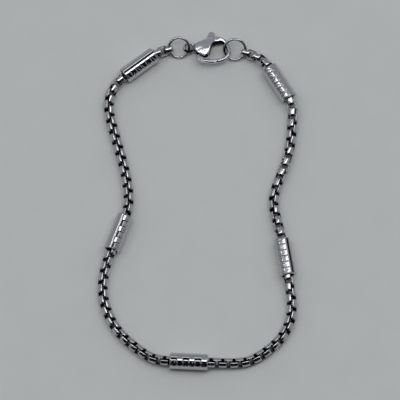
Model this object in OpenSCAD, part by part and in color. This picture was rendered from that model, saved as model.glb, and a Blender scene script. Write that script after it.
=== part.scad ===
// Chain bracelet: a round box chain that carries five tube beads, closed with
// a lobster clasp between two jump rings. It is laid down as a closed loop.
// Millimetres, +Z up, the loop lies on z = 0 and its clasp is at +Y.

/* [Chain] */
// Outer diameter of the round box chain
chain_d = 2.5; // [2.4:0.05:2.6]
// Number of links between the two jump rings, an odd number
link_count = 145; // [143:2:147]
// Thickness of a link's wall
link_wall = 0.26; // [0.24:0.02:0.32]
// Width of the strip that a link is bent from
link_width = 1.35; // [1.2:0.05:1.35]
// Play between two links that hook into each other
link_play = 0.28; // [0.26:0.01:0.3]

/* [Tube beads] */
// Outer diameter of a tube bead
bead_d = 3.9; // [3.8:0.05:4]
// Length of a tube bead
bead_len = 9; // [8.6:0.1:9.2]
// Hole that the chain runs through
bead_bore = 2.96; // [2.96:0.02:3.04]
// Chamfer on the rims of a bead
bead_chamfer = 0.18; // [0.1:0.02:0.2]

/* [Jump rings] */
// Wire that the jump rings are bent from
ring_wire = 0.7; // [0.6:0.02:0.74]
// Outer diameter of the ring in the clasp's eye
eye_ring_d = 5.56; // [5.5:0.02:5.6]
// Outer diameter of the ring that the hook holds
hook_ring_d = 5.8; // [5.76:0.02:5.84]
// Lean of the jump rings, with their +Y side up
ring_tilt = 32; // [31:0.5:33]

/* [Clasp] */
// Outer diameter of the clasp's eye
eye_d = 2.8; // [2.76:0.02:2.9]
// Thickness of the eye's rim
eye_rim = 0.58; // [0.5:0.02:0.6]
// Thickness of the clasp's body at its middle
body_t = 2.8; // [2.6:0.1:2.9]
// Lean of the clasp, with its -Y side up
clasp_tilt = 13; // [12:0.5:14]
// Width of the slot that the lever swings in
slot_w = 0.9; // [0.88:0.02:1]
// Diameter of the pin that the lever turns on
pin_d = 0.8; // [0.7:0.05:0.9]

/* [Lever] */
// Thickness of the lever inside the slot
lever_t = 0.66; // [0.6:0.02:0.68]
// Radius of the thumb knob
knob_r = 0.8; // [0.7:0.05:0.8]
// Gap between the gate and the tip of the hook
tip_gap = 0.12; // [0.1:0.02:0.2]

/* [Hidden] */
$fn = 48;

// The loop's middle in the plane that the tables below are measured in
loop_middle = [0, -0.24, 0];

// Tube beads in the chain's order: middle x, middle y, heading, and the roll of
// the chain where it comes in and where it goes out
BEADS = [
    [-14.0, 32.9, 216.5, -2, -12],
    [-19.0, -8.3, 248.9, -45, -45],
    [-2.2, -39.7, -2.5, -45, -45],
    [20.6, -14.3, 100, -12, 8],
    [19.3, 28.5, 122.5, 180, 200]];
// Height of the chain inside a bead, where it rests low in the hole
bead_chain_z = 1.85;

// Middle of the clasp's eye
eye_at = [-2.24, 37.28, 1.66];
// Middles of the two jump rings
eye_ring_at = [-4.58, 37.28, 1.66];
hook_ring_at = [8.76, 36.79, 1.77];
// Angles round the jump rings where the chain's end links hang
eye_ring_angle = 191.3;
hook_ring_angle = -17.55;
// Distance from a jump ring's wire to the middle of the end link on it
link_seat = 0.24;

function unit(v) = v / norm(v);
function heading(a) = [cos(a), sin(a), 0];

// Point on a jump ring's centreline, at an angle round the ring
function on_ring(middle, d, a) = middle + (d - ring_wire) / 2
    * [cos(a), sin(a) * cos(ring_tilt), sin(a) * sin(ring_tilt)];
// Heading, seen from above, at right angles to the wire there
function ring_out(a) = atan2(sin(a), cos(a) * cos(ring_tilt));

first_link = on_ring(eye_ring_at, eye_ring_d, eye_ring_angle)
    + link_seat * heading(ring_out(eye_ring_angle));
last_link = on_ring(hook_ring_at, hook_ring_d, hook_ring_angle)
    + link_seat * heading(ring_out(hook_ring_angle));

// The chain's stretches, each up to its next bead: x, y, height, roll
STRETCHES = [
    [
        [first_link.x, first_link.y, first_link.z, -18]],
    [
        [-20.0, 27.6, 1.5, -24], [-21.3, 23.4, 1.28, -38], [-20.5, 18.3, 1.25, -45],
        [-19.2, 13.6, 1.25, -45], [-17.9, 8.9, 1.25, -45], [-16.9, 4.1, 1.28, -45],
        [-16.6, -0.9, 1.5, -45]],
    [
        [-21.5, -14.9, 1.6, -45], [-22.5, -19.3, 1.28, -45],
        [-22.4, -24.2, 1.25, -45], [-20.9, -28.9, 1.25, -45],
        [-18.3, -32.9, 1.25, -45], [-14.7, -36.2, 1.28, -45],
        [-10.7, -38.8, 1.5, -45]],
    [
        [5.6, -40.0, 1.6, -45], [9.3, -39.9, 1.28, -45], [12.9, -39.1, 1.25, -45],
        [16.9, -36.5, 1.25, -45], [20.2, -33.0, 1.25, -45],
        [22.0, -28.6, 1.28, -45], [22.1, -23.8, 1.45, -40]],
    [
        [18.6, -4.8, 1.5, 25], [18.0, 0.1, 1.28, 45], [19.3, 4.8, 1.26, 72],
        [20.9, 9.4, 1.26, 100], [22.0, 14.2, 1.28, 128], [22.5, 19.0, 1.35, 156],
        [22.5, 22.0, 1.55, 171]],
    [
        [15.75, 33.65, 1.7, 193], [14.35, 34.75, 1.52, 184], [12.85, 35.5, 1.4, 175],
        [last_link.x, last_link.y, last_link.z, 165]]];

// Knots inside a bead lie this far from its middle, as parts of half its length
BEAD_KNOTS = [-1, -1 / 3, 1 / 3, 1];
function bead_knot(b, part) = let(p = [b[0], b[1], bead_chain_z]
    + part * bead_len / 2 * heading(b[2]))
    [p.x, p.y, p.z, b[3] + (b[4] - b[3]) * (1 + part) / 2];

// All knots that the chain's middle line runs through
KNOTS = [for (i = [0 : len(STRETCHES) - 1]) each concat(
    STRETCHES[i],
    i < len(BEADS) ? [for (part = BEAD_KNOTS) bead_knot(BEADS[i], part)] : [])];

// Row i of a table, with one more row past each end on the same line
function row(t, i) = i < 0 ? 2 * t[0] - t[1]
    : i >= len(t) ? 2 * t[len(t) - 1] - t[len(t) - 2] : t[i];
// Place on the smooth line of a table's rows, at a row and a part of the way on
function spline(t, i, u) = ((1 - u) ^ 3 * row(t, i - 1)
    + (3 * u ^ 3 - 6 * u ^ 2 + 4) * row(t, i)
    + (3 * u ^ 2 + 3 * u - 3 * u ^ 3 + 1) * row(t, i + 1)
    + u ^ 3 * row(t, i + 2)) / 6;
// Rows moved out so that their smooth line runs through the first rows
function pulled(rows, t, rounds) = rounds == 0 ? t
    : pulled(rows, [for (i = [0 : len(t) - 1]) t[i] + rows[i] - spline(t, i, 0)],
        rounds - 1);
function smooth(rows, steps) = let(t = pulled(rows, rows, 6)) concat(
    [for (i = [0 : len(t) - 2], k = [0 : steps - 1]) spline(t, i, k / steps)],
    [spline(t, len(t) - 1, 0)]);

// The middle line in short steps: x, y, z and roll
TRACK = smooth(KNOTS, 8);
function xyz(p) = [p[0], p[1], p[2]];

// Length of the middle line up to each step
LENGTHS = [for (i = 0, s = 0; i < len(TRACK);
    i = i + 1, s = i < len(TRACK) ? s + norm(xyz(TRACK[i] - TRACK[i - 1])) : s) s];
chain_len = LENGTHS[len(LENGTHS) - 1];
pitch = chain_len / (link_count - 1);

// x, y, z or roll of the middle line at the length s
function track(s, column) = lookup(s, [for (i = [0 : len(TRACK) - 1])
    [LENGTHS[i], TRACK[i][column]]]);
function track_place(s) = [track(s, 0), track(s, 1), track(s, 2)];

link_len = pitch + 2 * link_wall + link_play;
// Cut corners of a link, outside and inside
link_corner_out = 0.5;
link_corner_in = 0.2;
// Part of a corner's cut at its middle, as on a quarter circle
corner_part = 0.3;

// Outline of a rectangle l by w with its four corners rounded in two cuts
function rounded(l, w, c) = [for (q = [[1, 1], [-1, 1], [-1, -1], [1, -1]],
    k = [0 : 2]) let(
        m = [[0, c], [corner_part * c, corner_part * c], [c, 0]],
        p = m[q.x * q.y > 0 ? k : 2 - k])
        [q.x * (l / 2 - p.x), q.y * (w / 2 - p.y)]];

// Clasp, seen from above in its own plane, with the eye's middle at 0, 0
// Outline of the clasp's body: x, y
BODY = [
    [1.25, 0.7], [1.6, 1.0], [2.9, 1.65], [3.9, 2.1], [5.0, 2.45], [6.4, 2.5],
    [6.5, 1.2], [5.6, 0.6], [5.25, -0.5], [4.95, -1.7], [4.7, -2.35], [4.3, -2.75],
    [3.8, -2.85], [3.2, -2.65], [2.2, -1.85], [1.6, -1.2], [1.25, -0.75]];
// Middle of the two domes that round the body, and how much it bulges
dome_at = [4.2, 0.4];
dome_r = 8;
// Hook, from the body to its tip: x, y, half width, half thickness
HOOK = [
    [5.6, 1.75, 0.95, 1.0], [6.6, 1.9, 0.9, 0.92], [7.5, 1.85, 0.85, 0.85],
    [8.3, 1.65, 0.65, 0.72], [9.0, 0.95, 0.5, 0.56], [9.45, -0.1, 0.5, 0.53],
    [9.55, -1.2, 0.53, 0.55], [9.25, -2.2, 0.53, 0.55], [8.5, -2.95, 0.53, 0.55],
    [7.6, -3.4, 0.52, 0.54], [6.7, -3.65, 0.5, 0.52]];
// Gate of the lever, from its heel to its tip: x, y, half width, half thickness
GATE = [
    [3.25, -3.35, 0.2, 0.25], [3.6, -3.5, 0.4, 0.42], [4.4, -3.65, 0.46, 0.48],
    [5.6, -3.74, 0.48, 0.5], [6.6, -3.68, 0.49, 0.5], [7.6, -3.4, 0.5, 0.5]];
bar_sides = 12;
bar_steps = 3;
// Pivot of the lever, the middle of its knob and the foot of its gate
pivot_at = [3.9, 0.37];
knob_at = [5.4, 3.3];
gate_foot_at = [4.3, -3.35];
// Radius of the lever round its pivot, and width of the arm to the gate
lever_eye_r = 0.8;
lever_arm_w = 1.1;
// Heel of the lever, which shows below the body: x, y
HEEL = [
    [3.6, -1.0], [2.4, -1.7], [1.95, -2.45], [2.2, -3.2], [2.75, -3.8], [3.6, -4.1],
    [4.6, -3.9], [4.6, -1.4]];
// Ends of the slot along the body and across it, and of its wide lower part
slot_x = [2.95, 6.35];
slot_y = [-5, 4];
heel_slot = [1.75, -0.9];
// Joint between gate and hook, in two flats round the pivot: distance, bearings
gate_reach = 5.05;
gate_bearings = [-62, -46];
joint_cut = 1.6;
// Ends of the pin lie this deep in the body's faces
pin_inset = 0.05;
// Play of the pin in the body and in the lever
pin_play = 0.04;
lever_play = 0.1;

module in_loop() {
    translate(-loop_middle) children();
}

module in_clasp() {
    in_loop() translate(eye_at) rotate([-clasp_tilt, 0, 0]) children();
}

// One link of the chain, along X
module link() {
    intersection() {
        linear_extrude(link_width, center = true) difference() {
            polygon(rounded(link_len, chain_d, link_corner_out));
            polygon(rounded(link_len - 2 * link_wall, chain_d - 2 * link_wall,
                link_corner_in));
        }
        rotate([0, 90, 0]) cylinder(h = link_len + 1, d = chain_d, center = true);
    }
}

module chain() {
    color("silver") in_loop() for (i = [0 : link_count - 1]) {
        s = i * pitch;
        d = track_place(s + pitch / 2) - track_place(s - pitch / 2);
        translate(track_place(s))
            rotate([track(s, 3) + 90 * (1 - i % 2), -asin(d.z / norm(d)), atan2(d.y, d.x)])
            link();
    }
}

// A tube bead: number in the chain's order
module tube_bead(number) {
    b = BEADS[number - 1];
    color("gainsboro") in_loop() translate([b[0], b[1], bead_d / 2])
        rotate([0, 90, b[2]]) difference() {
            rotate_extrude() polygon([
                [0, -bead_len / 2],
                [bead_d / 2 - bead_chamfer, -bead_len / 2],
                [bead_d / 2, -bead_len / 2 + bead_chamfer],
                [bead_d / 2, bead_len / 2 - bead_chamfer],
                [bead_d / 2 - bead_chamfer, bead_len / 2],
                [0, bead_len / 2]]);
            cylinder(h = bead_len + 1, d = bead_bore, center = true);
        }
}

module jump_ring(middle, d) {
    color("silver") in_loop() translate(middle) rotate([ring_tilt, 0, 0])
        rotate_extrude() translate([(d - ring_wire) / 2, 0]) circle(d = ring_wire);
}

// Bar with oval sections that follows the rows of a table
module bar(rows) {
    r = smooth(rows, bar_steps);
    last = len(r) - 1;
    points = [for (i = [0 : last], k = [0 : bar_sides - 1]) let(
        step = r[min(i + 1, last)] - r[max(i - 1, 0)],
        d = unit([step[0], step[1]]),
        a = 360 * k / bar_sides)
        [r[i][0] - d.y * r[i][2] * cos(a), r[i][1] + d.x * r[i][2] * cos(a),
            r[i][3] * sin(a)]];
    sides = [for (i = [0 : last - 1], k = [0 : bar_sides - 1]) let(
        a = i * bar_sides + k,
        b = i * bar_sides + (k + 1) % bar_sides)
        each [[a, b + bar_sides, b], [a, a + bar_sides, b + bar_sides]]];
    polyhedron(points, concat(
        [[for (k = [0 : bar_sides - 1]) k]],
        sides,
        [[for (k = [bar_sides - 1 : -1 : 0]) last * bar_sides + k]]));
}

// The body's slab, rounded by a dome on each face
module domed_body() {
    intersection() {
        linear_extrude(2 * body_t, center = true) polygon(BODY);
        translate([dome_at.x, dome_at.y, body_t / 2 - dome_r]) sphere(dome_r);
        translate([dome_at.x, dome_at.y, dome_r - body_t / 2]) sphere(dome_r);
    }
}

// Eye, body and hook are one casting
module clasp_body() {
    color("silver") in_clasp() {
        difference() {
            union() {
                rotate_extrude() translate([(eye_d - eye_rim) / 2, 0])
                    circle(d = eye_rim);
                domed_body();
                bar(HOOK);
            }
            translate([slot_x[0], slot_y[0], -slot_w / 2])
                cube([slot_x[1] - slot_x[0], slot_y[1] - slot_y[0], slot_w]);
            translate([heel_slot.x, slot_y[0], -slot_w / 2])
                cube([slot_x[1] - heel_slot.x, heel_slot.y - slot_y[0], slot_w]);
            translate([pivot_at.x, pivot_at.y, -2 * body_t])
                cylinder(h = 4 * body_t, d = pin_d + pin_play);
            for (a = gate_bearings) joint_block(a, tip_gap / 2 - joint_cut);
        }
    }
}

// Block that cuts a flat at the joint between gate and hook, from a distance out
module joint_block(bearing, from) {
    translate(pivot_at) rotate(bearing)
        translate([gate_reach + from, -joint_cut, -body_t])
        cube([joint_cut, 2 * joint_cut, 2 * body_t]);
}

module clasp_pin() {
    color("gray") in_clasp() translate([pivot_at.x, pivot_at.y, 0])
        cylinder(h = body_t - 2 * pin_inset, d = pin_d, center = true);
}

// Straight piece of the lever's plate between two points, w wide
module plate_arm(from, to, w) {
    d = to - from;
    translate(from) rotate(atan2(d.y, d.x)) translate([0, -w / 2])
        square([norm(d), w]);
}

module clasp_lever() {
    color("silver") in_clasp() {
        difference() {
            union() {
                translate(concat(pivot_at, -lever_t / 2))
                    cylinder(h = lever_t, r = lever_eye_r);
                linear_extrude(lever_t, center = true) {
                    plate_arm(pivot_at, knob_at, 1.5 * knob_r);
                    plate_arm(pivot_at, gate_foot_at, lever_arm_w);
                    polygon(HEEL);
                }
                translate(concat(knob_at, -lever_t / 2))
                    cylinder(h = lever_t, r = knob_r);
            }
            translate([pivot_at.x, pivot_at.y, -body_t])
                cylinder(h = 2 * body_t, d = pin_d + lever_play);
        }
        difference() {
            bar(GATE);
            for (a = gate_bearings) joint_block(a, -tip_gap / 2);
        }
    }
}

chain();
tube_bead(1);  // tube_bead_1
tube_bead(2);  // tube_bead_2
tube_bead(3);  // tube_bead_3
tube_bead(4);  // tube_bead_4
tube_bead(5);  // tube_bead_5
jump_ring(eye_ring_at, eye_ring_d);  // jump_ring_eye
jump_ring(hook_ring_at, hook_ring_d);  // jump_ring_hook
clasp_body();
clasp_pin();
clasp_lever();
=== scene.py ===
"""Looks of a chain bracelet that lies as a closed loop.

Lengths in the tables are in millimetres, apart from the studio's, which are in metres.
"""

from math import cos, pi, radians, sin, sqrt

import bpy
import numpy as np
from mathutils import Matrix, Vector


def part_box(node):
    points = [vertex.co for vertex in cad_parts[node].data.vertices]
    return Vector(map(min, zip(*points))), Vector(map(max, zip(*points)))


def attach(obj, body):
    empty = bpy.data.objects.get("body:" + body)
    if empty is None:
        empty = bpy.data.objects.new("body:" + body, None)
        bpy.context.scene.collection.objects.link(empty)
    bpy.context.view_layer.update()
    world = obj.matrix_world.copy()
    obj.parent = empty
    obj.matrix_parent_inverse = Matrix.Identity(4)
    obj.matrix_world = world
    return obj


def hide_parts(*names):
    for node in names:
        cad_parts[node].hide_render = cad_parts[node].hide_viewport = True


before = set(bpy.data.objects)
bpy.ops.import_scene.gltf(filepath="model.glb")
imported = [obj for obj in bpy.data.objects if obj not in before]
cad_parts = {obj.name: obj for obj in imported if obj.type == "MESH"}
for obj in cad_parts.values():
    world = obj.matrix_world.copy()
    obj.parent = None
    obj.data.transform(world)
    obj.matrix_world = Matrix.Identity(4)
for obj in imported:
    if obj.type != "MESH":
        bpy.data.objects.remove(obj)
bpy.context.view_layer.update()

MM = 0.001

# Link of the round box chain: a strip bent to a ring, with the solid's own sizes
LINK_LEN = 2.172
LINK_WALL = 0.26
LINK_WIDTH = 1.35
CHAIN_D = 2.5
# Radii of a link's bends, outside and inside, and of the strip's own edges
BEND_OUT = 0.5
BEND_IN = 0.2
STRIP_EDGE_OUT = 0.12
STRIP_EDGE_IN = 0.06
# Points across the strip's outer face that carry its bulge
STRIP_BULGE_AT = (-0.2, 0, 0.2)
# Distance from the link's middle line over which the bulge of its sides sets in
BULGE = (0.85, 1.25)
# Distance from the link's end over which painted shade darkens the bend, and how dark it gets
BEND_SHADE = (0.26, 0.12)
BEND_SHADE_DARKNESS = 0.85
# How far from its inner face a strip is darkened with painted shade
INNER_SHADE = 0.15

# Tube bead
BEAD_D = 3.9
BEAD_LEN = 9.0
BEAD_BORE = 2.96
RIM_ROUND = 0.18
BORE_LIP = 0.08
# The engraved band: its width round the bead and its six cells
BAND_WIDTH = 5.1
CELL = 1.43
CELLS = 6
# Head line and dashes, one on each edge of the band: distance of the middle from
# the edge, half width, softness of their sides, and half length of a dash
HEAD_IN = 0.28
DASH_IN = 0.3
MARK_HALF = 0.28
MARK_SOFT = 0.08
DASH_HALF_LEN = 0.8
# Lines between the cells: distance of their ends from the band's edges, how softly
# the ends run out, half width
LINE_ENDS = (0.95, 0.6)
LINE_SOFT = (0.15, 0.1)
LINE_HALF = 0.17
# Signs in the cells: place of the middle across the band, half height, where and
# how softly a sign ends as parts of that, and half width of a stroke
SIGN_AT = 2.8
SIGN_REACH = 1.5
SIGN_END = 0.95
SIGN_SOFT = 0.15
SIGN_HALF = 0.13
# How far the slanted stroke leans, the ring's radius, and the chevron's point and lean
SLANT_LEAN = 0.5
RING_R = 0.3
CHEVRON_POINT = 0.35
CHEVRON_LEAN = 0.6
# Depth of each kind of mark, and how dark the stain in it is
CUTS = {"head": (0.1, 1.0), "dash": (0.07, 1.0), "line": (0.1, 0.0), "sign": (0.06, 0.0)}
# Fineness of the mesh, on the band and in steps round the plain side
BAND_STEP = 0.055
PLAIN_STEPS = 38
# Beads: heading of the axis, angle from the top where the band starts, whether
# the head line (True) or the dashed edge (False) is on that side, and how much
# stain the dashes still hold
BEADS = {
    "tube_bead_1": (36.5, 18.5, True, 1),
    "tube_bead_2": (68.9, 6, False, 1),
    "tube_bead_3": (-2.5, 14, False, 1),
    "tube_bead_4": (280, 49, True, 1),
    "tube_bead_5": (302.5, 25, False, 0),
}

# Jump rings: centre, outer diameter
RINGS = {
    "jump_ring_eye": ((-4.58, 37.52, 1.66), 5.56),
    "jump_ring_hook": ((8.76, 37.03, 1.77), 5.8),
}
RING_WIRE = 0.7
RING_LEAN = 32
# Fineness: points round the ring and round its wire
RING_FINE = (120, 24)

# Clasp: the eye's middle is the origin of its own plane, which leans
CLASP_AT = (-2.24, 37.52, 1.66)
CLASP_LEAN = -13
EYE_D = 2.8
EYE_RIM = 0.58
# How much thicker the eye's rim is than wide, and points round the eye and its rim
EYE_TALL = 1.15
EYE_FINE = (72, 20)
PIVOT = (3.9, 0.37)
PIN_D = 0.8
PIN_LEN = 2.76
# The pin's edge: how far in from its side, how far from its end
PIN_EDGE = [(0.04, 0), (0.01, 0.01), (0, 0.03)]
# Play of the pin in the body and in the lever
BODY_PLAY = 0.01
LEVER_PLAY = 0.05
# Fineness: steps between two sections, points round each section
CASTING_STEPS = 5
SECTION_POINTS = 96
# Sections of the cast body and hook: outer edge x, y, inner edge x, y, half
# thickness, how square the section is (2 is an ellipse), and how much the
# body's dome counts there
CASTING = [
    (1.25, 0.7, 1.25, -0.75, 1.4, 4.2, 1),
    (1.6, 1.0, 1.6, -1.2, 1.4, 4.2, 1),
    (2.25, 1.33, 2.2, -1.85, 1.4, 4.2, 1),
    (2.9, 1.62, 2.75, -2.35, 1.4, 4.2, 1),
    (3.45, 1.88, 3.3, -2.7, 1.4, 4.2, 1),
    (3.95, 2.1, 3.85, -2.85, 1.4, 4.2, 1),
    (4.5, 2.28, 4.4, -2.72, 1.4, 4.2, 1),
    (4.85, 2.4, 4.78, -2.2, 1.4, 4.2, 1),
    (5.2, 2.5, 5.05, -1.35, 1.38, 4.0, 1),
    (5.65, 2.62, 5.33, -0.3, 1.34, 3.8, 1),
    (6.1, 2.72, 5.65, 0.5, 1.2, 3.4, 0.7),
    (6.75, 2.76, 6.25, 0.92, 1.0, 2.9, 0.3),
    (7.5, 2.68, 7.1, 1.02, 0.88, 2.8, 0),
    (8.4, 2.3, 7.85, 1.08, 0.74, 2.4, 0),
    (9.35, 1.45, 8.55, 0.65, 0.6, 2.1, 0),
    (9.95, 0.1, 8.95, -0.25, 0.54, 2.0, 0),
    (10.08, -1.2, 9.03, -1.2, 0.55, 2.0, 0),
    (9.7, -2.5, 8.8, -1.95, 0.55, 2.0, 0),
    (8.8, -3.42, 8.25, -2.52, 0.55, 2.0, 0),
    (7.8, -3.92, 7.42, -2.9, 0.54, 2.0, 0),
    (6.7, -4.16, 6.62, -3.16, 0.52, 2.0, 0),
]
# The dome on each face of the body: its middle and radius
DOME_AT = (4.2, 0.4)
DOME_R = 8
# The flat polished on the body's near side: where it starts and its slope
FLAT_FROM = -0.93
FLAT_SLOPE = 0.3
# Small dents that the polishing left in it: their depth, the width over which they
# set in, and the two waves that cross in them, in radians per millimetre of x and y
DENT = 0.03
DENT_EDGE = 0.3
DENT_WAVES = [(6.1, 2.1), (-3.3, 9.3)]
# How much the hook's arm leans inwards, and where the lean sets in along x and y
ARM_LEAN = 0.2
ARM_LEAN_X = (6.1, 7.1)
ARM_LEAN_Y = (0.6, 2)
# The lever's slot in two boxes, from one corner to the other
SLOTS = [((2.95, -5, -0.45), (6.35, 4, 0.45)), ((1.75, -5, -0.45), (6.35, -0.9, 0.45))]
# Painted shade on the casting. Inside of the hook: part of the way across its
# section, and the rows of sections from which it counts
HOOK_INSIDE = (0.72, 0.86)
HOOK_ROWS = (36, 42)
# Wall of the mouth: part of the way across, and distance from the middle plane
MOUTH_WALL = (0.9, 0.96)
MOUTH_DEPTH = (0.95, 0.75)
# Walls of the slot: ends along x, highest y, distance from the middle plane
SLOT_WALLS = (1.7, 6.4, 2.2, 0.455)
# Root of the eye on the body: its place along x and how far its painted shade reaches
ROOT_AT = 1.3
ROOT_REACH = 0.2
# Distance from the eye's middle within which the eye's hole is painted in shade
EYE_HOLE_R = 1
# Gate of the lever: middle x, y, half width, half thickness
GATE = [
    (3.25, -3.35, 0.2, 0.25),
    (3.6, -3.5, 0.4, 0.42),
    (4.4, -3.65, 0.46, 0.48),
    (5.6, -3.74, 0.48, 0.5),
    (6.6, -3.68, 0.49, 0.5),
    (7.6, -3.4, 0.5, 0.5),
]
# Outline of the lever's plate, from the knob down to the gate and back: x, y
LEVER = [
    (5.4, 4.1), (4.83, 3.86), (4.6, 3.3), (4.35, 2.6), (3.75, 1.7), (3.2, 1.0),
    (3.05, 0.3), (3.3, -0.6), (2.9, -1.35), (2.2, -1.95), (1.95, -2.6), (2.2, -3.25),
    (2.8, -3.8), (3.6, -4.08), (4.4, -3.9), (4.8, -3.3), (4.85, -2.4), (4.75, -1.2),
    (4.7, 0.0), (4.95, 0.9), (5.5, 2.0), (5.95, 2.7), (6.2, 3.3), (5.97, 3.86),
]
LEVER_T = 0.66
LEVER_EDGE = 0.16
# The thumb knob's button: its middle, then radius and height from the rim inwards
BUTTON_AT = (5.42, 3.32)
BUTTON = [(0.79, 0.26), (0.78, 0.35), (0.69, 0.44), (0.1, 0.44)]
# Flats between gate and hook: distance from the pivot, bearings, half the gap, and
# the size of the blocks that cut them
JOINT_REACH = 5.05
JOINT_BEARINGS = (-62, -46)
JOINT_GAP = 0.06
JOINT_CUT = 1.6
# Half length of what cuts right through the clasp
THROUGH = 3

# Studio, in metres. Softboxes: place, width and height, power, the point that each
# faces, and its turn in degrees about its own middle
SOFTBOXES = {
    "overhead_softbox": ((-0.2, 0.04, 1.2), (0.74, 0.33), 1.75, (-0.2, 0.04, 0), 8),
    "far_softbox": ((0.54, 0.36, 1.19), (1.08, 0.36), 2.6, (0.54, 0.36, 0), 33),
    "left_window": ((-0.69, 0.551, 1.2), (0.7, 0.1), 0.6, (0, 0, 0), -21),
    "left_lamp": ((-1, 0, 1.2), (0.5, 0.18), 0.65, (0, 0, 0), 0),
}
# The dark side of the room: its slanted edges and its far edge, as directions
DARK_SLANT = -1.15
DARK_BESIDE = (-0.25, -0.18)
DARK_NEAR = (-0.04, -0.12)
# Camera: the point that it looks at, its distance, the width that it sees there,
# the width of its sensor in millimetres, and its angle over the floor in degrees
CAMERA_LOOKS_AT = (0.00044, 0.00047, 0)
CAMERA_DISTANCE = 3
CAMERA_SEES = 0.0952
CAMERA_SENSOR = 36
CAMERA_ANGLE = 76


def linear(code):
    """An sRGB hex colour as linear light."""
    parts = [int(code[i : i + 2], 16) / 255 for i in (1, 3, 5)]
    return [p / 12.92 if p <= 0.04045 else ((p + 0.055) / 1.055) ** 2.4 for p in parts] + [1]


def add_node(tree, kind, links=None, **settings):
    """A node with its settings. links gives a value or another node's output to each input."""
    made = tree.nodes.new(kind)
    for key, value in settings.items():
        setattr(made, key, value)
    for key, value in (links or {}).items():
        if isinstance(value, bpy.types.NodeSocket):
            tree.links.new(value, made.inputs[key])
        else:
            made.inputs[key].default_value = value
    return made


def ramp(value, start, full):
    """From 0 at start to 1 at full, and flat beyond them."""
    return min(max((value - start) / (full - start), 0), 1)


# Materials


def steel_material(name, tone, smooth, rough, grain_mm, stain_and_shade=None):
    """Stainless steel whose polish varies a little. The last colour is painted where points are marked:
    stain in engravings, painted shade in hollows and between parts.
    """
    material = bpy.data.materials.new(name)
    material.use_nodes = True
    tree = material.node_tree
    tree.nodes.clear()
    place = add_node(tree, "ShaderNodeTexCoord").outputs["Object"]
    # Hairlines and fingerprints make the polish uneven, in spots of this size
    spots = add_node(tree, "ShaderNodeTexNoise",
                     {"Vector": place, "Scale": 1 / (grain_mm * MM), "Detail": 4.0})
    polish = add_node(tree, "ShaderNodeMapRange",
                      {"Value": spots.outputs["Fac"], "From Min": 0.35, "From Max": 0.65,
                       "To Min": smooth, "To Max": rough}).outputs["Result"]
    shader = add_node(tree, "ShaderNodeBsdfPrincipled",
                      {"Base Color": linear(tone), "Metallic": 1.0, "Roughness": polish})
    if stain_and_shade:
        # Mixes in the marked dark colour: engraving stain, and painted shade
        cut = add_node(tree, "ShaderNodeAttribute", attribute_name="cut").outputs["Fac"]
        colour = add_node(tree, "ShaderNodeMix",
                          {"Factor": cut, "A": linear(tone), "B": linear(stain_and_shade)},
                          data_type="RGBA")
        tree.links.new(colour.outputs["Result"], shader.inputs["Base Color"])
    add_node(tree, "ShaderNodeOutputMaterial", {"Surface": shader.outputs["BSDF"]})
    return material


def floor_material():
    """Honed pale stone, plain: it takes soft shadows and shows no gloss."""
    material = bpy.data.materials.new("honed_pale_stone")
    material.use_nodes = True
    tree = material.node_tree
    tree.nodes.clear()
    place = add_node(tree, "ShaderNodeTexCoord").outputs["Object"]
    cloud = add_node(tree, "ShaderNodeTexNoise",
                     {"Vector": place, "Scale": 1 / (9 * MM), "Detail": 6.0})
    tone = add_node(tree, "ShaderNodeMix",
                    {"Factor": cloud.outputs["Fac"], "A": linear("#eaeeeb"), "B": linear("#f2f6f4")},
                    data_type="RGBA")
    shader = add_node(tree, "ShaderNodeBsdfPrincipled",
                      {"Base Color": tone.outputs["Result"], "Roughness": 0.7})
    add_node(tree, "ShaderNodeOutputMaterial", {"Surface": shader.outputs["BSDF"]})
    return material


# Meshes


def grid_faces(rows, columns, close_rows=False, close_columns=False):
    """Four-sided faces between rows of points."""
    faces = []
    for i in range(rows if close_rows else rows - 1):
        for k in range(columns if close_columns else columns - 1):
            a, b = i * columns, (i + 1) % rows * columns
            k2 = (k + 1) % columns
            faces.append((a + k, a + k2, b + k2, b + k))
    return faces


def mesh_object(name, points, faces, material=None):
    """A smooth mesh from points in millimetres."""
    mesh = bpy.data.meshes.new(name)
    mesh.from_pydata((np.asarray(points) * MM).tolist(), [], faces)
    mesh.validate()
    mesh.update()
    mesh.shade_smooth()
    if material:
        mesh.materials.append(material)
    made = bpy.data.objects.new(name, mesh)
    bpy.context.scene.collection.objects.link(made)
    return made


def mark_cuts(obj, amounts):
    """Marks how dark each point is painted: stain in engravings, painted shade in hollows, holes and
    between parts.
    """
    obj.data.attributes.new("cut", "FLOAT", "POINT").data.foreach_set("value", list(amounts))


def face_outwards(obj):
    """Turns a closed mesh's faces outwards."""
    bpy.context.view_layer.objects.active = obj
    for other in bpy.context.selected_objects:
        other.select_set(False)
    obj.select_set(True)
    bpy.ops.object.mode_set(mode="EDIT")
    bpy.ops.mesh.select_all(action="SELECT")
    bpy.ops.mesh.normals_make_consistent(inside=False)
    bpy.ops.object.mode_set(mode="OBJECT")
    obj.select_set(False)


def spline_rows(rows, steps):
    """Rows of a table with smooth rows between them."""
    t = np.array(rows, float)
    ends = np.vstack([2 * t[0] - t[1], t, 2 * t[-1] - t[-2]])
    out = []
    for i in range(len(t) - 1):
        a, b, c, d = ends[i : i + 4]
        for k in range(steps):
            u = k / steps
            out.append(0.5 * (2 * b + (c - a) * u + (2 * a - 5 * b + 4 * c - d) * u**2
                              + (3 * b - a - 3 * c + d) * u**3))
    out.append(t[-1])
    return np.array(out)


def closed_loft(name, sections):
    """A closed body through sections that have the same number of points."""
    s = np.array(sections)
    rows, columns = s.shape[:2]
    points = np.vstack([s.reshape(-1, 3), s[0].mean(0), s[-1].mean(0)])
    faces = grid_faces(rows, columns, close_columns=True)
    first, last = rows * columns, rows * columns + 1
    top = (rows - 1) * columns
    for k in range(columns):
        k2 = (k + 1) % columns
        faces += [(first, k2, k), (last, top + k, top + k2)]
    made = mesh_object(name, points, faces)
    face_outwards(made)
    return made


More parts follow.
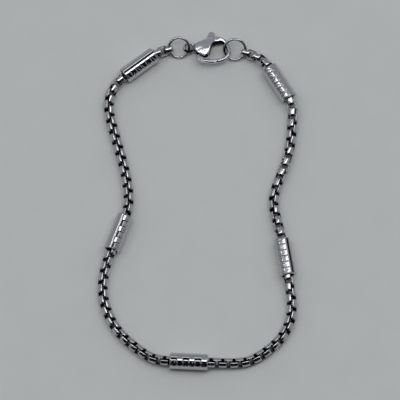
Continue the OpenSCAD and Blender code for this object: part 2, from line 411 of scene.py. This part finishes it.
def box_object(name, low, high, turn=0, about=(0, 0)):
    """A box between two corners, turned about a point of the clasp's plane."""
    corners = [(x, y, z) for x in (low[0], high[0]) for y in (low[1], high[1])
               for z in (low[2], high[2])]
    c, s = cos(radians(turn)), sin(radians(turn))
    points = [(about[0] + x * c - y * s, about[1] + x * s + y * c, z) for x, y, z in corners]
    faces = [(0, 1, 3, 2), (4, 6, 7, 5), (0, 4, 5, 1), (2, 3, 7, 6), (0, 2, 6, 4), (1, 5, 7, 3)]
    made = mesh_object(name, points, faces)
    face_outwards(made)
    return made


def turned_object(name, middle, rows, sides):
    """A closed turned body from rows of radius and height, about a point of the clasp's plane."""
    turns = [2 * pi * k / sides for k in range(sides)]
    return closed_loft(name, [
        [(middle[0] + r * cos(a), middle[1] + r * sin(a), z) for a in turns] for r, z in rows])


def wire_ring(big, small, rounds, sides, tall=1.0):
    """Points and faces of a ring of round wire. tall stretches the wire's section upwards."""
    points = []
    for i in range(rounds):
        a = 2 * pi * i / rounds
        for k in range(sides):
            b = 2 * pi * k / sides
            r = big + small * cos(b)
            points.append((r * cos(a), r * sin(a), tall * small * sin(b)))
    return points, grid_faces(rounds, sides, close_rows=True, close_columns=True)


def combine(obj, tool, how):
    """Joins or cuts obj with a closed tool, which is then removed."""
    change = obj.modifiers.new(how, "BOOLEAN")
    change.operation = how
    change.solver = "EXACT"
    change.object = tool
    bpy.context.view_layer.update()
    made = bpy.data.meshes.new_from_object(obj.evaluated_get(bpy.context.evaluated_depsgraph_get()))
    obj.modifiers.clear()
    obj.data = made
    bpy.data.objects.remove(tool)


def sharpen(obj, angle=40):
    """Smooth shading, with edges that are steeper than the angle kept sharp."""
    obj.data.shade_smooth()
    obj.data.set_sharp_from_angle(angle=radians(angle))


def finish_piece(obj, node, material):
    """Gives a piece its material and body, and puts it in the place of its CAD node."""
    obj.data.materials.clear()
    obj.data.materials.append(material)
    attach(obj, "lever" if node == "clasp_lever" else "root")
    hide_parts(node)


# Chain


def link_places():
    """Middle and axes of each link, from the chain's solids, in the chain's order."""
    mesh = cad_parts["chain"].data
    points = np.array([v.co for v in mesh.vertices]) / MM
    shared, place = np.unique(points.round(4), axis=0, return_inverse=True)
    place = place.ravel()
    edges = place[np.array([e.vertices[:] for e in mesh.edges])]
    # Each point takes the lowest label along its edges, until every solid has one label
    label = np.arange(len(shared))
    while True:
        low = np.minimum(label[edges[:, 0]], label[edges[:, 1]])
        new = label.copy()
        np.minimum.at(new, edges[:, 0], low)
        np.minimum.at(new, edges[:, 1], low)
        if (new == label).all():
            break
        label = new
    solids = [shared[label == n] for n in np.unique(label)]
    middles = np.array([s.mean(0) for s in solids])
    # From the link on the first jump ring on, the next link is the nearest one left
    order = [int(np.argmin(np.linalg.norm(middles - RINGS["jump_ring_eye"][0], axis=1)))]
    while len(order) < len(solids):
        gaps = np.linalg.norm(middles - middles[order[-1]], axis=1)
        gaps[order] = np.inf
        order.append(int(np.argmin(gaps)))
    places = []
    for i, n in enumerate(order):
        before, after = order[max(i - 1, 0)], order[min(i + 1, len(order) - 1)]
        # A link is thinnest across its strip
        across = np.linalg.svd(solids[n] - middles[n])[2][2]
        along = middles[after] - middles[before]
        along -= across * (along @ across)
        along /= np.linalg.norm(along)
        axes = np.array([along, np.cross(across, along), across])
        local = solids[n] @ axes.T
        places.append(((local.min(0) + local.max(0)) / 2 @ axes, axes))
    return places


def strip_section():
    """Section of a link's strip: part of the way from inside to outside, and place across."""
    half = LINK_WIDTH / 2
    out, inn = STRIP_EDGE_OUT, STRIP_EDGE_IN
    section = []
    for n, z, r, start in ((LINK_WALL - out, half - out, out, 0), (inn, half - inn, inn, 90),
                           (inn, inn - half, inn, 180), (LINK_WALL - out, out - half, out, 270)):
        for a in (start, start + 45, start + 90):
            section.append((n + r * cos(radians(a)), z + r * sin(radians(a))))
    section += [(LINK_WALL, z) for z in STRIP_BULGE_AT]
    return section


def link_shape():
    """Points of one link, ring by ring along its strip."""
    half_l, half_w = LINK_LEN / 2, CHAIN_D / 2
    stations = []
    for quarter, (sx, sy) in enumerate(((1, 1), (-1, 1), (-1, -1), (1, -1))):
        outer = np.array([sx * (half_l - BEND_OUT), sy * (half_w - BEND_OUT)])
        inner = np.array([sx * (half_l - LINK_WALL - BEND_IN), sy * (half_w - LINK_WALL - BEND_IN)])
        for a in (0, 22.5, 45, 67.5, 90):
            d = np.array([cos(radians(quarter * 90 + a)), sin(radians(quarter * 90 + a))])
            stations.append((inner + BEND_IN * d, outer + BEND_OUT * d))
    # One more station halfway along each straight side
    full = []
    for i, (a, b) in enumerate(stations):
        full.append((a, b))
        if i % 5 == 4:
            c, d = stations[(i + 1) % len(stations)]
            full.append(((a + c) / 2, (b + d) / 2))
    points, inside = [], []
    for inner, outer in full:
        for n, z in strip_section():
            x, y = inner + (outer - inner) * n / LINK_WALL
            # The round chain's barrel form: its sides bulge across the strip
            dome = 1 - sqrt(1 - (z / half_w) ** 2)
            points.append((x, y * (1 - dome * ramp(abs(y), *BULGE)), z))
            # Painted shade: the strip's inside and the bends between two links are darkened, where the
            # links shade each other
            bend = ramp(half_l - abs(x), *BEND_SHADE)
            inside.append(max(0.0, 1 - n / INNER_SHADE, BEND_SHADE_DARKNESS * bend))
    return np.array(points), inside, len(full), len(strip_section())


def chain_piece(material):
    """All links as one piece, each in the place of its solid."""
    shape, inside, rows, columns = link_shape()
    faces = grid_faces(rows, columns, close_rows=True, close_columns=True)
    points, all_faces = [], []
    places = link_places()
    for n, (middle, axes) in enumerate(places):
        points.append(middle + shape @ axes)
        all_faces += [tuple(v + n * len(shape) for v in f) for f in faces]
    made = mesh_object("box_chain", np.vstack(points), all_faces)
    mark_cuts(made, inside * len(places))
    face_outwards(made)
    finish_piece(made, "chain", material)


# Tube beads


def step(edge, soft=0.05):
    """From 0 outside an engraved mark to 1 inside it, where edge is the distance past its border."""
    t = np.clip(edge / soft + 0.5, 0, 1)
    return t * t * (3 - 2 * t)


def groove(away, half):
    """A groove with slanted sides: 1 in its middle and 0 from half its width on."""
    return np.clip(1 - away / half, 0, 1)


def band_cuts(along, across, dash_stain):
    """How deep the engraving is, in millimetres, at places on the band, and how dark."""
    cell = (along % CELL) - CELL / 2
    number = np.floor(along / CELL)
    inside = step(0.5 * CELLS * CELL - np.abs(along - 0.5 * CELLS * CELL))
    head = step(MARK_HALF - np.abs(across - HEAD_IN), MARK_SOFT) * inside
    # A dash on every second cell. Where it holds no stain, it is worn away as well
    off_dash = np.abs((along - CELL / 2) % (2 * CELL) - CELL)
    dash = step(MARK_HALF - np.abs(across - BAND_WIDTH + DASH_IN), MARK_SOFT)
    dash = dash * step(DASH_HALF_LEN - off_dash) * inside * dash_stain
    tall = (step(across - LINE_ENDS[0], LINE_SOFT[0])
            * step(BAND_WIDTH - LINE_ENDS[1] - across, LINE_SOFT[1]) * inside)
    line = groove(CELL / 2 - np.abs(cell), LINE_HALF) * tall
    # One large sign in each cell, by turns a slanted stroke, a ring and a chevron
    up = (across - SIGN_AT) / SIGN_REACH
    reach = np.abs(up)
    slant = groove(np.abs(cell - SLANT_LEAN * up), SIGN_HALF)
    ring = groove(np.abs(np.hypot(cell, 2 * RING_R * up) - RING_R), SIGN_HALF)
    chevron = groove(np.abs(cell - CHEVRON_POINT + CHEVRON_LEAN * reach), SIGN_HALF)
    sign = np.where(number % 3 == 0, slant, np.where(number % 3 == 1, ring, chevron))
    sign = sign * step(SIGN_END - reach, SIGN_SOFT) * inside
    marks = {"head": head, "dash": dash, "line": line, "sign": sign}
    depth = np.max([mark * CUTS[kind][0] for kind, mark in marks.items()], axis=0)
    dark = np.max([mark * CUTS[kind][1] for kind, mark in marks.items()], axis=0)
    return depth, dark


def bead_piece(name, material):
    """One tube bead with its engraved band, in the middle of its solid's box."""
    heading, edge, head_first, dash_stain = BEADS[name]
    radius, half = BEAD_D / 2, BEAD_LEN / 2
    band_turn = BAND_WIDTH / radius
    fine = np.linspace(0, band_turn, int(BAND_WIDTH / BAND_STEP))
    coarse = np.linspace(band_turn, 2 * pi, PLAIN_STEPS)[1:-1]
    turns = np.concatenate([fine, coarse])
    engraved = CELLS * CELL / 2 + 0.02
    middle = np.linspace(-engraved, engraved, int(2 * engraved / BAND_STEP))
    # Rows along the bead: place, radius; the bore, then the rim, the outside and back
    bore = BEAD_BORE / 2
    rim = [radians(a) for a in (0, 22.5, 45, 67.5, 90)]
    ends = [(half - RIM_ROUND + RIM_ROUND * cos(a), radius - RIM_ROUND + RIM_ROUND * sin(a))
            for a in rim]
    lip = [(half - BORE_LIP, bore), (half - BORE_LIP / 4, bore + BORE_LIP / 4), (half, bore + BORE_LIP)]
    rows = [(-x, r) for x, r in lip + ends]
    rows += [(x, radius) for x in middle]
    rows += [(x, r) for x, r in reversed(lip + ends)]
    place = np.array([x for x, _ in rows])[:, None]
    base = np.array([r for _, r in rows])[:, None]
    across = (turns * radius)[None, :] + 0 * place
    along = place + CELLS * CELL / 2 + 0 * across
    depth, dark = band_cuts(along if head_first else CELLS * CELL - along,
                            across if head_first else BAND_WIDTH - across, dash_stain)
    on_band = (across <= BAND_WIDTH) & (np.abs(place) <= engraved)
    depth, dark = depth * on_band, dark * on_band
    # Painted shade: the inside of the tube's hole is darkened
    dark = np.where(base < bore + BORE_LIP / 2, 1.0, dark)
    angle = radians(edge) - turns[None, :]
    low, high = (np.array(c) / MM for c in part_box(name))
    # Directions along the bead and beside it
    h = radians(heading)
    a, p = np.array([cos(h), sin(h), 0]), np.array([-sin(h), cos(h), 0])
    r = base - depth
    points = ((low + high) / 2 + place[..., None] * a + (r * np.sin(angle))[..., None] * p
              + (r * np.cos(angle))[..., None] * np.array([0, 0, 1]))
    made = mesh_object(name + "_engraved", points.reshape(-1, 3),
                       grid_faces(len(rows), len(turns), close_rows=True, close_columns=True))
    mark_cuts(made, dark.ravel())
    face_outwards(made)
    finish_piece(made, name, material)


# Jump rings


def ring_piece(name, material):
    """One jump ring, which leans on what it holds."""
    centre, outer = RINGS[name]
    lean = Matrix.Rotation(radians(RING_LEAN), 3, "X")
    points, faces = wire_ring((outer - RING_WIRE) / 2, RING_WIRE / 2, *RING_FINE)
    made = mesh_object(name + "_wire", [lean @ Vector(p) + Vector(centre) for p in points], faces)
    face_outwards(made)
    finish_piece(made, name, material)


# Clasp


def into_place(obj):
    """Moves a mesh from the clasp's own plane to its place."""
    turn = Matrix.Translation(Vector(CLASP_AT) * MM) @ Matrix.Rotation(radians(CLASP_LEAN), 4, "X")
    obj.data.transform(turn)
    return obj


def square_oval(n):
    """An oval between an ellipse (n = 2) and a rectangle, with even steps round it."""
    # A quarter in fine steps, mirrored, from which the even steps are taken
    a = np.linspace(0, pi / 2, 400)
    x, y = np.cos(a) ** (2 / n), np.sin(a) ** (2 / n)
    x, y = np.concatenate([x, -x[::-1], -x, x[::-1]]), np.concatenate([y, y[::-1], -y, -y[::-1]])
    way = np.concatenate([[0], np.cumsum(np.hypot(np.diff(x), np.diff(y)))])
    even = np.linspace(0, way[-1], SECTION_POINTS, endpoint=False)
    return np.interp(even, way, x), np.interp(even, way, y)


def face_height(x, y, half, dome):
    """Height of the clasp's face over its middle plane."""
    on_dome = max(y, FLAT_FROM)
    drop = DOME_R - sqrt(DOME_R**2 - (x - DOME_AT[0]) ** 2 - (on_dome - DOME_AT[1]) ** 2)
    dents = DENT * ramp(on_dome - y, 0, DENT_EDGE)
    for along_x, along_y in DENT_WAVES:
        dents *= sin(along_x * x + along_y * y)
    return half - dome * (drop + FLAT_SLOPE * (on_dome - y) + dents)


def casting_sections():
    """Sections of the body and hook, from the eye's side round to the hook's tip."""
    sections = []
    for ox, oy, ix, iy, half, n, dome in spline_rows(CASTING, CASTING_STEPS):
        across, up = square_oval(n)
        lean = ARM_LEAN * ramp(ox, *ARM_LEAN_X) * ramp(oy, *ARM_LEAN_Y)
        section = []
        for c, s in zip(across, up):
            x, y = (ox + ix + (ox - ix) * c) / 2, (oy + iy + (oy - iy) * c) / 2
            z = s * face_height(x, y, half, ramp(dome, 0, 1))
            section.append((x, y, z + lean * c * half))
        sections.append(section)
    return sections


def paint_clasp_shade(obj):
    """Marks painted shade on the clasp's eye hole, the eye's root, the slot, the mouth's wall and the
    hook's inside.
    """
    rows = spline_rows(CASTING, CASTING_STEPS)
    outer, inner = rows[:, 0:2], rows[:, 2:4]
    way = inner - outer
    slot_start, slot_end, slot_top, slot_half = SLOT_WALLS
    dark = []
    for v in obj.data.vertices:
        x, y, z = (c / MM for c in v.co)
        if x * x + y * y < EYE_HOLE_R**2:
            dark.append(1.0)
            continue
        part = ((np.array([x, y]) - outer) * way).sum(1) / (way * way).sum(1)
        near = outer + np.clip(part, 0, 1)[:, None] * way
        row = int(np.argmin(np.hypot(near[:, 0] - x, near[:, 1] - y)))
        inside = ramp(part[row], *HOOK_INSIDE) * ramp(row, *HOOK_ROWS)
        mouth = ramp(part[row], *MOUTH_WALL) * ramp(abs(z), *MOUTH_DEPTH)
        slot = abs(z) < slot_half and slot_start < x < slot_end and y < slot_top
        root = ramp(abs(x - ROOT_AT), ROOT_REACH, 0)
        dark.append(max(inside, mouth, float(slot), root))
    mark_cuts(obj, dark)


def eye_ring():
    """The clasp's eye, a little thicker than it is wide."""
    points, faces = wire_ring((EYE_D - EYE_RIM) / 2, EYE_RIM / 2, *EYE_FINE, EYE_TALL)
    made = mesh_object("eye", points, faces)
    face_outwards(made)
    return made


def bore_for_pin(obj, play):
    """Bores the pin's hole, wider than the pin by the play all round."""
    radius = PIN_D / 2 + play
    hole = turned_object("hole", PIVOT, [(radius, -THROUGH), (radius, THROUGH)], 48)
    combine(obj, hole, "DIFFERENCE")


def cut_flats(obj, start):
    """Cuts the flats between gate and hook, from a distance from the pivot outwards."""
    for bearing in JOINT_BEARINGS:
        low, high = (start, -JOINT_CUT, -THROUGH), (start + JOINT_CUT, JOINT_CUT, THROUGH)
        combine(obj, box_object("flat", low, high, bearing, PIVOT), "DIFFERENCE")


def clasp_body_piece(material):
    """Eye, body and hook in one casting, with the lever's slot and the pin's hole."""
    body = closed_loft("clasp_casting", casting_sections())
    combine(body, eye_ring(), "UNION")
    for corners in SLOTS:
        combine(body, box_object("slot", *corners), "DIFFERENCE")
    bore_for_pin(body, BODY_PLAY)
    cut_flats(body, JOINT_REACH + JOINT_GAP - JOINT_CUT)
    sharpen(body)
    # Painted shade in the eye's hole, the slot, the mouth and the hook's inside
    paint_clasp_shade(body)
    finish_piece(into_place(body), "clasp_body", material)


def plate(name, outline, half, edge):
    """A flat plate with rounded edges from a closed outline."""
    closed = spline_rows(list(outline) + [outline[0]], 5)[:-1]
    tangent = np.roll(closed, -1, 0) - np.roll(closed, 1, 0)
    normal = np.stack([tangent[:, 1], -tangent[:, 0]], 1)
    normal /= np.linalg.norm(normal, axis=1)[:, None]
    if np.cross(closed, np.roll(closed, -1, 0)).sum() < 0:
        normal = -normal
    rings = []
    for a in (-90, -60, -30, 0, 30, 60, 90):
        inset = edge * (1 - cos(radians(a)))
        z = (half - edge) * np.sign(a) + edge * sin(radians(a))
        for zz in ((z,) if a else (edge - half, half - edge)):
            ring = closed - normal * inset
            rings.append(np.hstack([ring, np.full((len(ring), 1), zz)]))
    count = len(closed)
    faces = grid_faces(len(rings), count, close_columns=True)
    faces += [tuple(range(count)), tuple(range((len(rings) - 1) * count, len(rings) * count))]
    made = mesh_object(name, np.vstack(rings), faces)
    face_outwards(made)
    return made


def gate_sections():
    """Oval sections of the gate, each at right angles to its way."""
    rows = spline_rows(GATE, 4)
    sections = []
    for i, (x, y, w, t) in enumerate(rows):
        d = rows[min(i + 1, len(rows) - 1)][:2] - rows[max(i - 1, 0)][:2]
        d /= np.linalg.norm(d)
        sections.append([(x - d[1] * w * cos(a), y + d[0] * w * cos(a), t * sin(a))
                         for a in np.linspace(0, 2 * pi, 28, endpoint=False)])
    return sections


def knob_button():
    """The round button of the thumb knob, with a bevel round its top."""
    lower = [(r, -z) for r, z in reversed(BUTTON)]
    return turned_object("button", BUTTON_AT, lower + BUTTON, 40)


def clasp_lever_piece(material):
    """Plate, knob and gate in one piece, which turns on the pin."""
    lever = plate("clasp_gate", LEVER, LEVER_T / 2, LEVER_EDGE)
    combine(lever, knob_button(), "UNION")
    gate = closed_loft("gate", gate_sections())
    cut_flats(gate, JOINT_REACH - JOINT_GAP)
    combine(lever, gate, "UNION")
    bore_for_pin(lever, LEVER_PLAY)
    sharpen(lever)
    finish_piece(into_place(lever), "clasp_lever", material)


def clasp_pin_piece(material):
    """The pin, with broken edges at both ends."""
    rows = [(PIN_D / 2 - inwards, up - PIN_LEN / 2) for inwards, up in PIN_EDGE]
    rows += [(r, -z) for r, z in reversed(rows)]
    pin = turned_object("clasp_pin_turned", PIVOT, rows, 32)
    sharpen(pin, 50)
    finish_piece(into_place(pin), "clasp_pin", material)


# Studio


def floor_piece(material):
    """A plain floor under the bracelet, 800 mm square."""
    half = 400
    corners = [(-half, -half, 0), (half, -half, 0), (half, half, 0), (-half, half, 0)]
    made = mesh_object("floor", corners, [(0, 1, 2, 3)], material)


def look_at(obj, place, target):
    """Puts a camera or a light in its place, facing the target."""
    obj.location = place
    obj.rotation_euler = (Vector(target) - Vector(place)).to_track_quat("-Z", "Y").to_euler()
    bpy.context.scene.collection.objects.link(obj)
    return obj


def softbox(name, place, size, power, target, turn):
    """A flat soft light that faces the target, turned about its own middle."""
    light = bpy.data.lights.new(name, "AREA")
    light.shape = "RECTANGLE"
    light.size, light.size_y = size
    light.energy = power
    box = look_at(bpy.data.objects.new(name, light), place, target)
    box.rotation_euler.rotate_axis("Z", radians(turn))


def studio_world():
    """Grey walls with a dark side, where nobody has lit the room."""
    world = bpy.data.worlds.new("studio")
    world.use_nodes = True
    tree = world.node_tree
    tree.nodes.clear()
    way = add_node(tree, "ShaderNodeTexCoord").outputs["Generated"]
    parts = add_node(tree, "ShaderNodeSeparateXYZ", {"Vector": way})
    x, y = parts.outputs["X"], parts.outputs["Y"]
    wide = add_node(tree, "ShaderNodeMath", {0: x}, operation="ABSOLUTE").outputs[0]
    ahead = add_node(tree, "ShaderNodeMath", {0: y, 1: DARK_SLANT}, operation="MULTIPLY").outputs[0]
    lead = add_node(tree, "ShaderNodeMath", {0: ahead, 1: wide}, operation="SUBTRACT").outputs[0]
    beside = add_node(tree, "ShaderNodeMapRange",
                      {"Value": lead, "From Min": DARK_BESIDE[0], "From Max": DARK_BESIDE[1]},
                      interpolation_type="SMOOTHSTEP").outputs["Result"]
    near = add_node(tree, "ShaderNodeMapRange",
                    {"Value": y, "From Min": DARK_NEAR[0], "From Max": DARK_NEAR[1]},
                    interpolation_type="SMOOTHSTEP").outputs["Result"]
    dark = add_node(tree, "ShaderNodeMath", {0: beside, 1: near}, operation="MULTIPLY").outputs[0]
    tone = add_node(tree, "ShaderNodeMix",
                    {"Factor": dark, "A": linear("#94969a"), "B": linear("#121213")},
                    data_type="RGBA").outputs["Result"]
    back = add_node(tree, "ShaderNodeBackground", {"Color": tone, "Strength": 1.0})
    add_node(tree, "ShaderNodeOutputWorld", {"Surface": back.outputs["Background"]})
    bpy.context.scene.world = world


def photo_camera():
    """Long lens, high over the near side, as the photo was taken."""
    data = bpy.data.cameras.new("camera")
    data.sensor_width = CAMERA_SENSOR
    data.lens = CAMERA_SENSOR * CAMERA_DISTANCE / CAMERA_SEES
    data.clip_start = 0.01
    target, up = Vector(CAMERA_LOOKS_AT), radians(CAMERA_ANGLE)
    place = target + CAMERA_DISTANCE * Vector((0, -cos(up), sin(up)))
    camera = look_at(bpy.data.objects.new("camera", data), place, target)
    bpy.context.scene.camera = camera


# Stainless steel wire, stamped and barrel polished: bright, with small hairlines; its dark colour is
# painted shade inside the links and at their bends
chain_steel = steel_material("barrel_polished_stainless_strip", "#c8c9cb", 0.07, 0.2, 0.6, "#2c2d2f")
# Stainless steel tube, turned and buffed: a clean mirror, dark where it is engraved, with painted shade
# in its hole
bead_steel = steel_material("buffed_stainless_tube", "#cbccce", 0.06, 0.14, 1.2, "#26272a")
# Drawn stainless wire, tumbled: bright and a little soft
ring_steel = steel_material("tumbled_stainless_wire", "#cbccce", 0.05, 0.1, 0.5)
# Cast stainless steel, hand polished: smooth and grey, with soft highlights; its dark colour is painted
# shade in the eye, slot, mouth and hook
clasp_steel = steel_material("polished_cast_stainless", "#dadbe0", 0.12, 0.2, 0.8, "#1d1e20")

photo_camera()
studio_world()
for name, values in SOFTBOXES.items():
    softbox(name, *values)
floor_piece(floor_material())
chain_piece(chain_steel)
for bead in BEADS:
    bead_piece(bead, bead_steel)
for ring in RINGS:
    ring_piece(ring, ring_steel)
clasp_body_piece(clasp_steel)
clasp_lever_piece(clasp_steel)
clasp_pin_piece(clasp_steel)
bpy.context.scene.view_settings.view_transform = "Standard"
